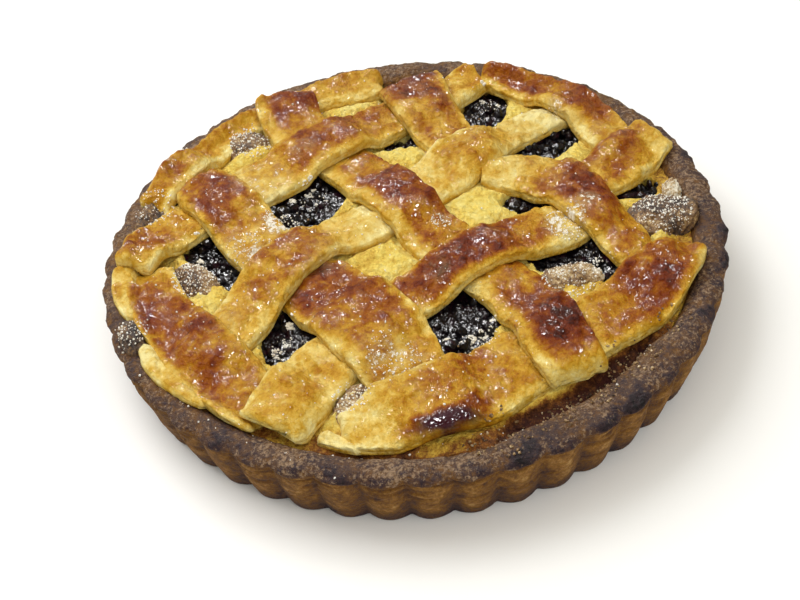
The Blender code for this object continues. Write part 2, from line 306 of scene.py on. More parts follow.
# Strips: x, y, width and browning at points along each, from 0 for pale to 1 for mahogany.
# Lean says to which side its crest and browning lie, from 0 for the middle, and over names the
# strips below it.
strips = {
    "strip_a1": {"over": ("strip_b2",), "lean": 0.3, "route": (
        (-98, 33, 12, 0.5), (-89, 47, 13, 0.55), (-77, 62, 13, 0.5), (-64, 77, 10, 0.45),
        (-47, 89, 10, 0.45), (-29, 95, 13, 0.5), (-14, 98, 14, 0.45), (-4, 99, 12, 0.45))},
    "strip_a2": {"over": ("strip_b1", "strip_b3"), "lean": 0.1, "route": (
        (-103, -3, 14, 0.4), (-98, 10, 18, 0.7), (-85, 24, 22, 0.5), (-72, 33, 25, 0.35),
        (-56, 42, 26, 0.4), (-41, 51, 25, 0.7), (-24, 61, 24, 0.8), (-8, 71, 23, 0.6),
        (8, 80, 22, 0.5), (22, 88, 19, 0.55), (36, 97, 14, 0.5))},
    "strip_a3": {"over": ("strip_b2", "strip_b4"), "route": (
        (-72, -45, 20, 0.3), (-63, -33, 22, 0.4), (-53, -19, 23, 0.6), (-43, -7, 21, 0.75),
        (-30, 2, 20, 0.5), (-15, 9, 21, 0.12), (0, 20, 21, 0.15), (14, 32, 24, 0.35),
        (28, 43, 22, 0.5), (41, 52, 16, 0.3), (55, 61, 15, 0.05), (69, 67, 13, 0.0))},
    "strip_a4": {"over": ("strip_b1", "strip_b3"), "lean": 0.05, "route": (
        (-53, -88, 23, 0.3), (-46, -76, 25, 0.4), (-37, -64, 25, 0.35), (-25, -52, 24, 0.4),
        (-12, -40, 22, 0.55), (0, -31, 21, 0.85), (13, -23, 20, 0.95), (27, -15, 20, 1.0),
        (41, -8, 22, 0.8), (54, -4, 22, 0.35), (65, 2, 19, 0.15))},
    "strip_a5": {"over": ("strip_b2", "strip_b5"), "lean": 0.05, "route": (
        (-29, -92, 16, 0.2), (-17, -88, 24, 0.35), (-4, -85, 27, 0.55), (11, -80, 29, 0.65),
        (27, -72, 28, 0.55), (42, -64, 27, 0.45), (57, -56, 26, 0.55), (70, -49, 26, 0.75),
        (82, -39, 25, 0.85), (92, -29, 20, 0.8), (99, -21, 15, 0.45))},
    "strip_a6": {"over": ("strip_b6",), "lean": 0.1, "route": (
        (70, 20, 19, 0.45), (80, 27, 22, 0.65), (90, 34, 21, 0.65), (100, 41, 17, 0.4))},
    "strip_b1": {"over": ("strip_a3",), "route": (
        (-97, -2, 16, 0.35), (-95, -13, 19, 0.7), (-91, -25, 22, 0.85), (-84, -38, 24, 0.8),
        (-74, -53, 26, 0.75), (-63, -68, 25, 0.65), (-53, -79, 22, 0.4))},
    "strip_b2": {"over": ("strip_a2", "strip_a4"), "route": (
        (-85, 48, 17, 0.6), (-76, 37, 24, 0.85), (-71, 30, 24, 0.9), (-63, 17, 25, 0.65),
        (-56, 5, 25, 0.5), (-47, -8, 25, 0.5), (-36, -21, 30, 0.85), (-26, -34, 33, 0.85),
        (-18, -46, 33, 0.75), (-11, -58, 32, 0.6), (-5, -71, 28, 0.5), (1, -84, 24, 0.35))},
    "strip_b3": {"over": ("strip_a1", "strip_a3", "strip_a5"), "lean": 0.25, "route": (
        (-46, 92, 24, 0.9), (-42, 78, 25, 0.8), (-36, 65, 24, 0.45), (-27, 54, 21, 0.45),
        (-18, 42, 22, 0.6), (-9, 28, 24, 0.9), (0, 14, 23, 0.9), (8, -1, 23, 0.75),
        (18, -14, 22, 0.55), (28, -27, 22, 0.6), (36, -39, 23, 0.75), (42, -52, 24, 1.05),
        (46, -66, 24, 1.05), (50, -79, 22, 0.45))},
    "strip_b4": {"over": ("strip_a2",), "route": (
        (6, 98, 26, 0.85), (9, 85, 26, 0.9), (13, 71, 24, 0.65), (19, 57, 22, 0.6),
        (26, 44, 18, 0.55))},
    "strip_b5": {"over": ("strip_a4", "strip_a6"), "lean": 0.1, "route": (
        (30, 32, 11, 0.2), (39, 30, 19, 0.25), (50, 26, 23, 0.45), (60, 16, 23, 0.8),
        (68, 3, 21, 0.85), (75, -11, 19, 0.7), (81, -24, 17, 0.45), (87, -35, 14, 0.35))},
    "strip_b6": {"over": ("strip_a3",), "lean": 0.3, "route": (
        (38, 97, 10, 0.6), (48, 89, 12, 0.7), (57, 81, 14, 0.75), (67, 71, 16, 0.75),
        (75, 61, 17, 0.75), (80, 50, 18, 0.6), (84, 40, 17, 0.5))},
}

# Pockets of fruit: middle, half length, half width and the angle of the length.
pockets = {
    "bramble_fruit_1": (-38, 31, 17, 13, 80), "bramble_fruit_2": (-73, 2, 18, 8, -61),
    "bramble_fruit_3": (-45, -41, 15, 10, 75), "bramble_fruit_4": (14, -43, 19, 13, 70),
    "bramble_fruit_5": (62, -18, 20, 14, -20), "bramble_fruit_6": (45, 13, 8, 6, 0),
    "bramble_fruit_7": (36, 77, 14, 8, 85), "bramble_fruit_8": (57, 49, 15, 9, 35),
    "bramble_fruit_9": (87, 16, 7, 6, 30), "bramble_fruit_10": (3, 60, 10, 4, 20),
}

# Browned, sugared crumb that has risen beside the strips: an oval as above, height and browning.
crumbMounds = {
    "crumb_mound_1": (-62, 69, 9, 7, 30, 6.0, 0.50), "crumb_mound_2": (-96, 32, 12, 4, 55, 4.5, 0.55),
    "crumb_mound_3": (-80, -9, 11, 6, -57, 6.0, 0.55), "crumb_mound_4": (93, -2, 12.5, 10, 0, 8.0, 0.62),
    "crumb_mound_5": (54, -31, 12, 6, 10, 5.5, 0.36), "crumb_mound_6": (-25, -77, 9, 5, 50, 4.0, 0.34),
    "crumb_mound_7": (99, 12, 3, 5, 0, 5.0, 0.05),
}

routes = {name: smoothRoute(strip["route"], 2.0) for name, strip in strips.items()}


def bedHeight(places):
    radius = np.minimum(fromMiddle(places), pie["bedRadius"])
    return pie["bedEdge"] + pie["bedRise"] * (1 - (radius / pie["bedRadius"]) ** 2)


# The top of the sponge inside the case, and of the rim beyond it.
def groundHeight(places):
    radius = fromMiddle(places)
    onRim = smoothStep(radius, pie["bedRadius"] - 3, pie["bedRadius"] + 4)
    return bedHeight(places) * (1 - onRim) + (pie["height"] + 0.1) * onRim


# Glazed puff pastry: layers of dough brushed with egg, so raised places shine and brown while
# flanks and cut edges stay pale and floury. Baked egg is a thin hard coat, crinkled by steam.
# Its crinkles and freckles are under 1 mm wide, and are drawn 2 to 3 mm wide so that they show.
def makeGlazedPuff():
    finish, tree, shader, place = newFinish(
        "Egg-washed puff pastry", roughness=0.6, ior=1.45, specular=0.08, coatRoughness=0.05)
    bake, dust, juice, blistered = painted(tree, ("bake", "dust", "juice", "blistered"))
    patches, freckles, grains, strokes, runs = [addNode(tree, "TexNoise", {
        "Scale": featureSize(size), "Detail": detail, "Roughness": harshness, "Distortion": swirl}, {
        "Vector": place}) for size, detail, harshness, swirl in (
            (6.0, 5.0, 0.68, 0.0), (2.0, 3.0, 0.7, 0.0), (1.2, 2.0, 0.7, 0.0),
            (7.0, 3.0, 0.62, 0.8), (2.8, 1.0, 0.5, 1.1))]
    uneven = addNode(tree, "Math", {"operation": "MULTIPLY_ADD", 1: 0.6}, {0: patches, 2: bake})
    browning = addNode(tree, "Math", {"operation": "MULTIPLY_ADD", 1: 0.5}, {
        0: freckles, 2: uneven})
    level = addNode(tree, "Math", {"operation": "SUBTRACT", 1: 0.55}, {0: browning})
    crust = addNode(tree, "ValToRGB", {"stops": (
        (0.00, "#F0E09A"), (0.16, "#E2C468"), (0.32, "#CFA234"), (0.48, "#B67F12"),
        (0.64, "#955104"), (0.82, "#702901"), (1.00, "#3C1002"))}, {"Fac": level})
    # Fine sugar lies as a dull film with white grains in it, and juice runs over both.
    film = addNode(tree, "Math", {"operation": "MULTIPLY", 1: 0.7}, {0: dust})
    sugared = addNode(tree, "Mix", {"data_type": "RGBA", 7: tone("#B09A72")}, {0: film, 6: crust})
    heaped = addNode(tree, "Math", {"operation": "MULTIPLY_ADD", 1: 0.55}, {0: dust, 2: grains})
    grainy = addNode(tree, "Math", {"operation": "MULTIPLY_ADD", "use_clamp": True, 1: 7.0, 2: -5.6}, {
        0: heaped})
    whitened = addNode(tree, "Mix", {"data_type": "RGBA", 7: tone("#F1E9D8")}, {
        0: grainy, 6: sugared})
    stained = addNode(tree, "Mix", {"data_type": "RGBA", 7: tone("#3A0716")}, {
        0: juice, 6: whitened})
    # The brush left more egg in some places, and it shines only where it browned and no sugar lies.
    pooled = addNode(tree, "Math", {"operation": "MULTIPLY_ADD", "use_clamp": True, 1: 8.0, 2: -3.9}, {
        0: strokes})
    washed = addNode(tree, "Math", {"operation": "MULTIPLY"}, {0: bake, 1: pooled})
    brushed = addNode(tree, "Math", {"operation": "MULTIPLY_ADD", "use_clamp": True, 1: 2.2}, {
        0: washed, 2: juice})
    dry = addNode(tree, "Math", {"operation": "SUBTRACT", "use_clamp": True, 0: 1.0}, {1: dust})
    covered = addNode(tree, "Math", {"operation": "MULTIPLY"}, {0: brushed, 1: dry})
    shine = addNode(tree, "Math", {"operation": "MULTIPLY"}, {0: covered, 1: blistered})
    relief = addNode(tree, "Bump", {"Strength": 1.0, "Distance": 1.5 * mm}, {"Height": freckles})
    beads = addNode(tree, "Bump", {"Distance": 3.6 * mm}, {"Strength": blistered, "Height": runs})
    connect(tree, shader, {
        "Base Color": stained, "Coat Weight": shine, "Normal": relief, "Coat Normal": beads})
    return finish


# A strip is puffed: its middle stands high and its edges stay near the thickness it was cut to.
stripShape = {
    "alongStep": 0.7, "topColumns": 42, "sideRows": 5, "bottomColumns": 6,
    "crown": 5.5, "edge": 2.9, "fullness": 0.46, "crestLean": 0.6, "sunk": 0.3,
    "lift": 4.6, "liftInside": 2.0, "liftOutside": 9.0, "pressed": 0.72,
    "endRound": 3.0, "endRagged": 1.6, "endWidth": 0.86, "endHeight": 0.3, "edgeWave": 0.77,
    "layerCount": 7, "layerRidge": 0.45, "layerStretch": 0.16,  # Layers and folds run along it.
}
# How strips brown, from 0 to 1, and how crinkled their egg is. It is smoother on the far side.
stripBake = {
    "browning": 0.82, "edgeLoss": 0.62, "side": 0.22, "endShare": 0.55, "scald": 0.25,
    "crinkled": 0.95, "farLoss": 0.5, "farWay": (0.7, 0.7), "farFrom": 5, "farTo": 65,
}

# Places where sugar lies thick on the strips: x, y, reach, amount.
dustedPlaces = (
    (-55, 41, 13, 0.55), (-62, 1, 11, 0.7), (-49, 13, 8, 0.9), (57, -5, 9, 0.9), (66, 2, 5, 0.6),
    (-10, -64, 12, 0.55), (-68, -34, 8, 0.45), (13, 3, 5, 0.5), (-30, -10, 9, 0.35),
    (26, 50, 9, 0.4), (8, -26, 5, 0.35), (62, 64, 8, 0.5), (-38, 54, 7, 0.4),
    (62, 45, 34, 0.22), (0, 78, 30, 0.2),
)
# Where juice has run over a strip: an oval and an amount.
juicyPlaces = ((5.5, -94.3, 11.0, 2.8, 12, 1.0), (38, 12, 4, 3, 20, 0.4))


# Columns round a strip, as the share of its half width and of its height, top first.
def stripSection(shape):
    count, rows, under = shape["topColumns"], shape["sideRows"], shape["bottomColumns"]
    section = [(-math.cos(math.pi * k / count), 1.0) for k in range(count + 1)]
    section += [(1.0, 1 - k / rows) for k in range(1, rows + 1)]
    section += [(1 - 2 * k / under, 0.0) for k in range(1, under + 1)]
    section += [(-1.0, k / rows) for k in range(1, rows + 1)]
    return np.array(section)


def makeStrip(name, strip, finish):
    shape, baked = stripShape, stripBake
    line = smoothRoute(strip["route"], shape["alongStep"])
    section = stripSection(shape)
    mesh = meshFrom(newGrid(len(line) - 1, len(section) - 1), name)
    grid = meshPoints(mesh)
    index = np.rint((grid[:, 0] + 0.5) * (len(line) - 1)).astype(int)
    ring = np.rint((grid[:, 1] + 0.5) * (len(section) - 1)).astype(int)
    across, level = section[ring, 0], section[ring, 1]

    ahead = np.gradient(line[:, :2], axis=0)
    ahead /= np.linalg.norm(ahead, axis=1)[:, None]
    side = np.stack([-ahead[:, 1], ahead[:, 0]], 1)
    travel = np.concatenate([[0], np.cumsum(np.linalg.norm(np.diff(line[:, :2], axis=0), axis=1))])
    fromEnd = np.minimum(travel, travel[-1] - travel)[index]
    nearEnd = np.clip(fromEnd / shape["endRound"], 0, 1)
    rounded = np.sqrt(np.maximum(1 - (1 - nearEnd) ** 2, 0))

    halfWidth = line[index, 2] / 2
    edgeSeed = len(name) + sum(map(ord, name))
    alongEdge = np.stack([travel[index], np.sign(across) * 40 + edgeSeed], 1)
    wave = lumps(alongEdge, 13.0, 3) * 0.6 + lumps(alongEdge, 4.5, 5) * 0.4
    halfWidth = halfWidth + shape["edgeWave"] * wave
    halfWidth *= shape["endWidth"] + (1 - shape["endWidth"]) * rounded
    raggedness = lumps(np.stack([across * halfWidth, travel[index] * 0 + edgeSeed], 1), 3.2, 9)
    atStart = travel[index] < travel[-1] / 2
    slide = shape["endRagged"] * raggedness * (1 - nearEnd) * np.where(atStart, -1, 1)
    places = line[index, :2] + side[index] * (across * halfWidth)[:, None]
    places = places + ahead[index] * slide[:, None]

    # It climbs over the strips below it and is pressed flatter under those above.
    lift = np.zeros(len(places))
    for below in strip.get("over", ()):
        outside = outsideRoute(routes[below][:, :3], places)
        ramp = 1 - smoothStep(outside, -shape["liftInside"], shape["liftOutside"])
        lift = np.maximum(lift, shape["lift"] * ramp)
    thick = np.ones(len(places))
    for above, other in strips.items():
        if name in other["over"]:
            outside = outsideRoute(routes[above][:, :3], places)
            press = 1 - smoothStep(outside, -2.0, 4.0)
            thick = np.minimum(thick, 1 - (1 - shape["pressed"]) * press)

    lean = strip.get("lean", 0.0)
    offCrest = across - lean * shape["crestLean"]
    offCrest = offCrest / (1 - np.sign(offCrest) * lean * shape["crestLean"])
    dome = np.maximum(1 - offCrest ** 2, 0) ** shape["fullness"]
    along3 = np.column_stack([places, travel[index] * 0 + edgeSeed])
    crown = shape["crown"] * (1 + 0.1 * lumps(along3, 17.0, 21))
    thick *= strip.get("thick", 1.0)
    height = (shape["edge"] + (crown - shape["edge"]) * dome) * thick
    height *= shape["endHeight"] + (1 - shape["endHeight"]) * rounded
    floorHeight = groundHeight(places) - shape["sunk"] + lift
    rough = 0.5 * lumps(along3, 7.0, 31) + 0.28 * lumps(along3, 2.8, 33)
    bubble = 0.6 * blisters(places, 3.6, 35, 0.45) + 0.4 * blisters(places, 2.2, 37, 0.6)
    folds = np.stack([travel[index] * shape["layerStretch"] + edgeSeed, across * halfWidth], 1)
    fold = 0.65 * lumps(folds, 3.4, 36) + 0.4 * lumps(folds, 1.9, 38)
    relief = (rough + bubble + fold) * smoothStep(height, 1.0, 3.0)
    z = floorHeight + level * height + np.where(level > 0.99, relief, 0)

    inLayers = np.column_stack([places * shape["layerStretch"], level * shape["layerCount"] + edgeSeed])
    layers = lumps(inLayers, 1.0, 41)
    onSide = smoothStep(np.abs(across), 0.93, 1.0) * (level > 0.01)
    places = places + side[index] * (np.sign(across) * layers * shape["layerRidge"] * onSide)[:, None]
    setMeshPoints(mesh, np.column_stack([places, z]) * mm)

    # Crests and blisters brown most, and edges, ends and cut sides stay pale.
    spread = 1 - baked["edgeLoss"] * smoothStep(np.abs(across - lean), 0.6, 1.1)
    browning = baked["browning"] * line[index, 3] * spread + 0.1 * (bubble - 0.15)
    browning += 0.16 * lumps(along3, 8.0, 51) + 0.08 * lumps(along3, 3.0, 53)
    browning = np.where(level > 0.99, browning, baked["side"] + 0.16 * layers)
    browning *= baked["endShare"] + (1 - baked["endShare"]) * rounded
    run, scald = np.zeros(len(places)), np.zeros(len(places))
    for *oval, amount in juicyPlaces:
        outside = outsideOval(oval, places)
        outside = outside + 0.5 * lumps(places, 4.0, 71) + 0.3 * lumps(places, 2.0, 73)
        run = np.maximum(run, amount * (1 - smoothStep(outside, -1.2, 1.0)))
        scald = np.maximum(scald, baked["scald"] * amount * (1 - smoothStep(outside, 0.0, 3.0)))
    paint(mesh, "bake", browning + scald)
    dusting = np.zeros(len(places))
    for x, y, reach, amount in dustedPlaces:
        away = np.hypot(places[:, 0] - x, places[:, 1] - y)
        dusting = np.maximum(dusting, amount * (1 - smoothStep(away, reach * 0.4, reach * 1.3)))
    dusting *= np.clip(0.5 + 0.8 * lumps(along3, 2.6, 61) + 0.8 * lumps(along3, 1.2, 63), 0, 1)
    paint(mesh, "dust", dusting)
    paint(mesh, "juice", run)
    far = smoothStep(places @ baked["farWay"], baked["farFrom"], baked["farTo"])
    paint(mesh, "blistered", np.maximum(baked["crinkled"] - baked["farLoss"] * far, run))
    return finishPiece(mesh, finish, (name,) if name in frame["nodes"] else (), 1e-6)


glazedPuff = makeGlazedPuff()
for name, strip in strips.items():
    makeStrip(name, strip, glazedPuff)
print("lattice strips made")


# Sponge: a dry, yellow open crumb that scatters light, browned where it is thin or high and
# stained by the fruit. Its holes are about 1 mm wide, and are drawn 2.4 mm wide so that they show.
def makeSpongeCrumb():
    finish, tree, shader, place = newFinish("Baked sponge crumb", roughness=0.9, ior=1.4, specular=0.2)
    toast, stain = painted(tree, ("toast", "stain"))
    patches = addNode(tree, "TexNoise", {
        "Scale": featureSize(2.6), "Detail": 4.0, "Roughness": 0.8}, {"Vector": place})
    blend = addNode(tree, "Math", {"operation": "MULTIPLY_ADD", 1: 1.2, 2: -0.6}, {0: patches})
    shade = addNode(tree, "Math", {"operation": "ADD"}, {0: toast, 1: blend})
    crumb = addNode(tree, "ValToRGB", {"stops": (
        (0.00, "#F9E68A"), (0.24, "#F3D562"), (0.50, "#D9AC40"), (0.74, "#8E5824"),
        (1.00, "#4A2713"))}, {"Fac": shade})
    stained = addNode(tree, "Mix", {"data_type": "RGBA", 7: tone("#4D2A3A")}, {0: stain, 6: crumb})
    holes = addNode(tree, "TexVoronoi", {"Scale": featureSize(2.4)}, {"Vector": place})
    grain = addNode(tree, "TexNoise", {
        "Scale": featureSize(2.0), "Detail": 3.0, "Roughness": 0.75}, {"Vector": place})
    swell = addNode(tree, "Math", {"operation": "MULTIPLY_ADD", 1: 0.5}, {0: holes, 2: grain})
    relief = addNode(tree, "Bump", {"Strength": 1.0, "Distance": 2.4 * mm}, {"Height": swell})
    connect(tree, shader, {"Base Color": stained, "Normal": relief})
    return finish


# The filling has shrunk from the rim on one side, which leaves a dark, crumbly groove.
groove = {"angle": -57, "halfAngle": 24, "fade": 8, "start": 90.0, "depth": 3.4, "rimSwell": 3.2}


def grooveShare(places):
    away = np.abs(np.degrees(np.arctan2(places[:, 1], places[:, 0])) - groove["angle"])
    return 1 - smoothStep(away, groove["halfAngle"] - groove["fade"], groove["halfAngle"])


# The sponge puffs up between the strips and falls away at the fruit and near the rim.
spongeShape = {
    "cells": 300, "radius": 102.6, "puff": 3.6, "foot": 6.0, "wallNoise": 0.9, "fallsFrom": 90,
    "fallsTo": 101, "toast": 0.2, "rimToast": 0.5, "grooveToast": 0.6, "seep": 0.6,
}


# The height of the sponge's top, and how far each place is outside the nearest pocket.
def spongeHeight(places):
    shape = spongeShape
    gap = np.full(len(places), 1e9)
    for route in routes.values():
        gap = np.minimum(gap, outsideRoute(route[:, :3], places))
    pocketGap = np.full(len(places), 1e9)
    for oval in pockets.values():
        pocketGap = np.minimum(pocketGap, outsideOval(oval, places))
    pocketGap = pocketGap + shape["wallNoise"] * lumps(places, 5.0, 81) + 0.6 * lumps(places, 1.8, 83)
    puff = shape["puff"] * smoothStep(gap, -1.0, 5.0) * smoothStep(pocketGap, -1.0, 4.0)
    radius = fromMiddle(places)
    puff = puff * (1 - smoothStep(radius, shape["fallsFrom"], shape["fallsTo"]))
    rough = 0.45 * lumps(places, 6.0, 85) + 0.4 * lumps(places, 2.6, 87) + 0.3 * lumps(places, 1.3, 89)
    rough -= 0.7 * blisters(places, 3.4, 91, 0.25)
    rough *= 0.35 + 0.65 * smoothStep(gap, -1.0, 2.0)
    sunken = smoothStep(radius, groove["start"], groove["start"] + 4) * grooveShare(places)
    rough = rough + (1.1 * lumps(places, 3.2, 92) + 0.6 * lumps(places, 1.5, 94)) * sunken
    top = bedHeight(places) + puff * (1 - sunken) + rough - groove["depth"] * sunken
    inside = 1 - smoothStep(pocketGap, 0.0, 1.8)
    floor = pie["pocketFloor"] + 0.8 * lumps(places, 3.0, 93)
    return top * (1 - inside) + floor * inside, pocketGap


def makeSponge(finish):
    shape = spongeShape
    bm = newGrid(shape["cells"], shape["cells"])
    rims = [edge for edge in bm.edges if edge.is_boundary]
    shiftExtruded(bm, bmesh.ops.extrude_edge_only(bm, edges=rims), -1)
    mesh = meshFrom(bm, "sponge")
    grid = meshPoints(mesh)
    places = np.stack(roundOff(grid[:, 0] * 2, grid[:, 1] * 2), 1) * shape["radius"]
    height, pocketGap = spongeHeight(places)
    z = np.where(grid[:, 2] < -0.5, shape["foot"], height)
    setMeshPoints(mesh, np.column_stack([places, z]) * mm)
    toast = shape["toast"] + 0.2 * lumps(places, 9.0, 95) + 0.1 * lumps(places, 2.5, 97)
    radius = fromMiddle(places)
    toast = toast + shape["rimToast"] * smoothStep(radius, 90, 100)
    inGroove = smoothStep(radius, groove["start"], groove["start"] + 3) * grooveShare(places)
    paint(mesh, "toast", toast + shape["grooveToast"] * inGroove)
    deep = 1 - smoothStep(height, 15, 23)
    seep = (1 - smoothStep(pocketGap, -0.5, 1.5)) * (0.5 + 0.5 * lumps(places, 4.0, 99))
    paint(mesh, "stain", np.maximum(deep, shape["seep"] * seep))
    return finishPiece(mesh, finish, ("sponge_filling",), 1e-6)


makeSponge(makeSpongeCrumb())
print("sponge made")


# Brambles: clusters of drupelets, baked until near black, under a dark syrup that stays wet and
# gives small sharp glints. Wrinkles of about 1 mm are drawn 2.2 mm wide so that they show.
def makeBrambleSkin():
    finish, tree, shader, place = newFinish(
        "Baked bramble skin", roughness=0.35, ior=1.42, specular=0.15, coat=0.6, coatRoughness=0.08)
    patches = addNode(tree, "TexNoise", {
        "Scale": featureSize(4.0), "Detail": 3.0}, {"Vector": place})
    skin = addNode(tree, "ValToRGB", {"stops": (
        (0.30, "#060406"), (0.55, "#0E060B"), (0.78, "#300D1C"))}, {"Fac": patches})
    wrinkle = addNode(tree, "TexNoise", {
        "Scale": featureSize(2.2), "Detail": 2.0}, {"Vector": place})
    relief = addNode(tree, "Bump", {"Strength": 1.0, "Distance": 1.5 * mm}, {"Height": wrinkle})
    connect(tree, shader, {"Base Color": skin, "Normal": relief, "Coat Normal": relief})
    return finish


# Half sizes of a berry and of a drupelet, and how the berries lie in their syrup.
fruitShape = {
    "berryLength": 9.4, "berryWidth": 7.2, "flatness": 0.85, "drupelets": 34, "drupelet": 2.3,
    "spacing": 8.4, "tries": 400, "belowBed": 3.6, "raised": 1.2, "syrupBelowBed": 4.2, "spill": 2.2,
    "syrupCells": 36, "syrupLump": 1.3, "syrupBead": 1.5, "syrupBubble": 0.8,
}
goldenAngle = 2.39996  # Spreads points evenly over a ball.


def drupeletsOnBerry(random, centre, turn, size):
    shape = fruitShape
    reach = (shape["berryLength"], shape["berryWidth"], shape["berryWidth"] * shape["flatness"])
    made = []
    count = shape["drupelets"]
    for index in range(count):
        height = 1 - 2 * (index + 0.5) / count
        angle = index * goldenAngle + random.uniform(-0.2, 0.2)
        ring = math.sqrt(1 - height * height)
        way = Vector((ring * math.cos(angle), ring * math.sin(angle), height))
        spot = turn @ (way * Vector(reach) * size * random.uniform(0.86, 1.0))
        radius = shape["drupelet"] * random.uniform(0.5, 1.25)
        stretch = Matrix.Diagonal((*[radius * random.uniform(0.6, 1.3) for _ in range(3)], 1.0))
        made.append(Matrix.Translation((centre + spot) * mm) @ Matrix.Scale(mm, 4) @ stretch)
    return made


def makeFruit(name, oval, finish, seed):
    shape = fruitShape
    random = np.random.default_rng(seed)
    middle = np.array(oval[:2])
    bed = float(bedHeight(middle[None])[0])
    spots = []
    for _ in range(shape["tries"]):
        world = middle + random.uniform(-1, 1, 2) * (oval[2] + 2)
        outside = outsideOval(oval, world[None])[0]
        apart = min([np.hypot(*(world - other)) for other in spots], default=99)
        if outside < -1.5 and apart > shape["spacing"]:
            spots.append(world)
    placesOfAll = []
    for world in spots:
        turn = Matrix.Rotation(random.uniform(0, math.tau), 3, "Z") @ Matrix.Rotation(
            random.uniform(-0.5, 0.5), 3, "Y")
        size = random.uniform(0.8, 1.05)
        sunk = shape["belowBed"] - shape["raised"] + shape["berryWidth"] * shape["flatness"] * size
        centre = Vector((*world, bed - sunk + random.uniform(-1.0, 1.6)))
        placesOfAll += drupeletsOnBerry(random, centre, turn, size)
    mesh = stampMesh(name, bmesh.ops.create_icosphere, placesOfAll, subdivisions=2, radius=1.0)
    return finishPiece(mesh, finish, (name,))


def makeSyrup(name, oval, finish):
    shape = fruitShape
    bm = newGrid(shape["syrupCells"], shape["syrupCells"])
    shiftExtruded(bm, bmesh.ops.extrude_face_region(bm, geom=bm.faces[:]), 1)
    mesh = meshFrom(bm, name)
    grid = meshPoints(mesh)
    x, y = roundOff(grid[:, 0] * 2, grid[:, 1] * 2)
    places = onOval(oval, x * (oval[2] + shape["spill"]), y * (oval[3] + shape["spill"]))
    top = bedHeight(places) - shape["syrupBelowBed"] + shape["syrupLump"] * lumps(places, 5.0, 101)
    top += shape["syrupBead"] * blisters(places, 3.4, 103)
    top += shape["syrupBubble"] * blisters(places, 1.9, 104)
    z = np.where(grid[:, 2] > 0.5, top, pie["pocketFloor"] - 0.5)
    setMeshPoints(mesh, np.column_stack([places, z]) * mm)
    return finishPiece(mesh, finish)


brambleSkin = makeBrambleSkin()
for number, (name, oval) in enumerate(pockets.items(), 1):
    makeFruit(name, oval, brambleSkin, 400 + number)
    makeSyrup(f"syrup_{number}", oval, brambleSkin)
print("fruit made")


# Case: sandy shortcrust baked in a fluted tin. The wall took a smooth tan skin from the tin and
# the rim, which stood free, is rough, dark and dry, nearly burnt at the crest of each flute. Its
# grains of flour and sugar are about 0.5 mm, and are drawn 1.3 to 1.8 mm wide so that they show.
def makeBakedShortcrust():
    finish, tree, shader, place = newFinish("Baked shortcrust", roughness=0.7, ior=1.45, specular=0.2)
    toast, dry = painted(tree, ("toast", "dry"))
    patches = addNode(tree, "TexNoise", {
        "Scale": featureSize(5.0), "Detail": 4.0, "Roughness": 0.6}, {"Vector": place})
    grit = addNode(tree, "TexNoise", {
        "Scale": featureSize(1.8), "Detail": 3.0, "Roughness": 0.8}, {"Vector": place})
    uneven = addNode(tree, "Math", {"operation": "MULTIPLY_ADD", 1: 0.5}, {0: patches, 2: toast})
    speckled = addNode(tree, "Math", {"operation": "MULTIPLY_ADD", 1: 0.9}, {0: grit, 2: uneven})
    level = addNode(tree, "Math", {"operation": "SUBTRACT", 1: 0.7}, {0: speckled})
    crust = addNode(tree, "ValToRGB", {"stops": (
        (0.00, "#B08A50"), (0.18, "#8C622C"), (0.36, "#6E491E"), (0.54, "#553B2B"),
        (0.74, "#35262A"), (1.00, "#150E0E"))}, {"Fac": level})
    sandy = addNode(tree, "TexNoise", {
        "Scale": featureSize(1.3), "Detail": 2.0, "Roughness": 0.75}, {"Vector": place})
    loose = addNode(tree, "Math", {"operation": "MULTIPLY_ADD", 1: 0.3}, {0: dry, 2: sandy})
    grains = addNode(tree, "Math", {"operation": "MULTIPLY_ADD", "use_clamp": True, 1: 5.0, 2: -3.6}, {
        0: loose})
    dusted = addNode(tree, "Mix", {"data_type": "RGBA", 7: tone("#9A7E60")}, {0: grains, 6: crust})
    relief = addNode(tree, "Bump", {"Strength": 1.0, "Distance": 1.8 * mm}, {"Height": grit})
    connect(tree, shader, {"Base Color": dusted, "Normal": relief})
    return finish


# Section from the middle of the base, up the wall and over the rim, to the inside of the floor.
caseShape = {
    "section": (
        (0.0, 0.0), (60.0, 0.0), (107.0, 0.0), (108.8, 0.5), (109.8, 3.0), (111.4, 8.0),
        (113.2, 14.0), (114.2, 19.5), (114.6, 22.6), (114.5, 23.8), (115.2, 24.8), (115.0, 26.0),
        (113.6, 27.2), (111.7, 27.9), (109.3, 28.2), (106.8, 27.8), (104.9, 26.6), (103.4, 24.8),
        (102.3, 21.0), (99.8, 9.0), (98.0, 5.2), (60.0, 5.0), (0.0, 5.0)),
    "rowStep": 0.8, "columnsPerFlute": 18, "fluteDepth": 2.7, "rimFlute": 0.45, "wallFrom": 106,
    "tinLine": 24.4, "crackDepth": 0.6,
}
# How dark the case is, from 0 to 1, with painted shade in the hollows between the flutes and in the
# cracks. The rim is darkest at one side of the pie.
caseBake = {
    "wall": 0.24, "foot": 0.3, "paintedHollowShade": 0.2, "crack": 0.16, "rim": 0.53, "burnt": 0.33,
    "inner": 0.16, "darkest": -62, "farLoss": 0.12, "farBurntLoss": 0.2,
}


def smoothSection(section, step):
    fine = smoothRoute([(*point, 0.0) for point in section[2:-2]], step)
    fine = [(float(row[0]), max(float(row[1]), 0.0)) for row in fine]
    return [*section[:2], *fine, *section[-2:]]


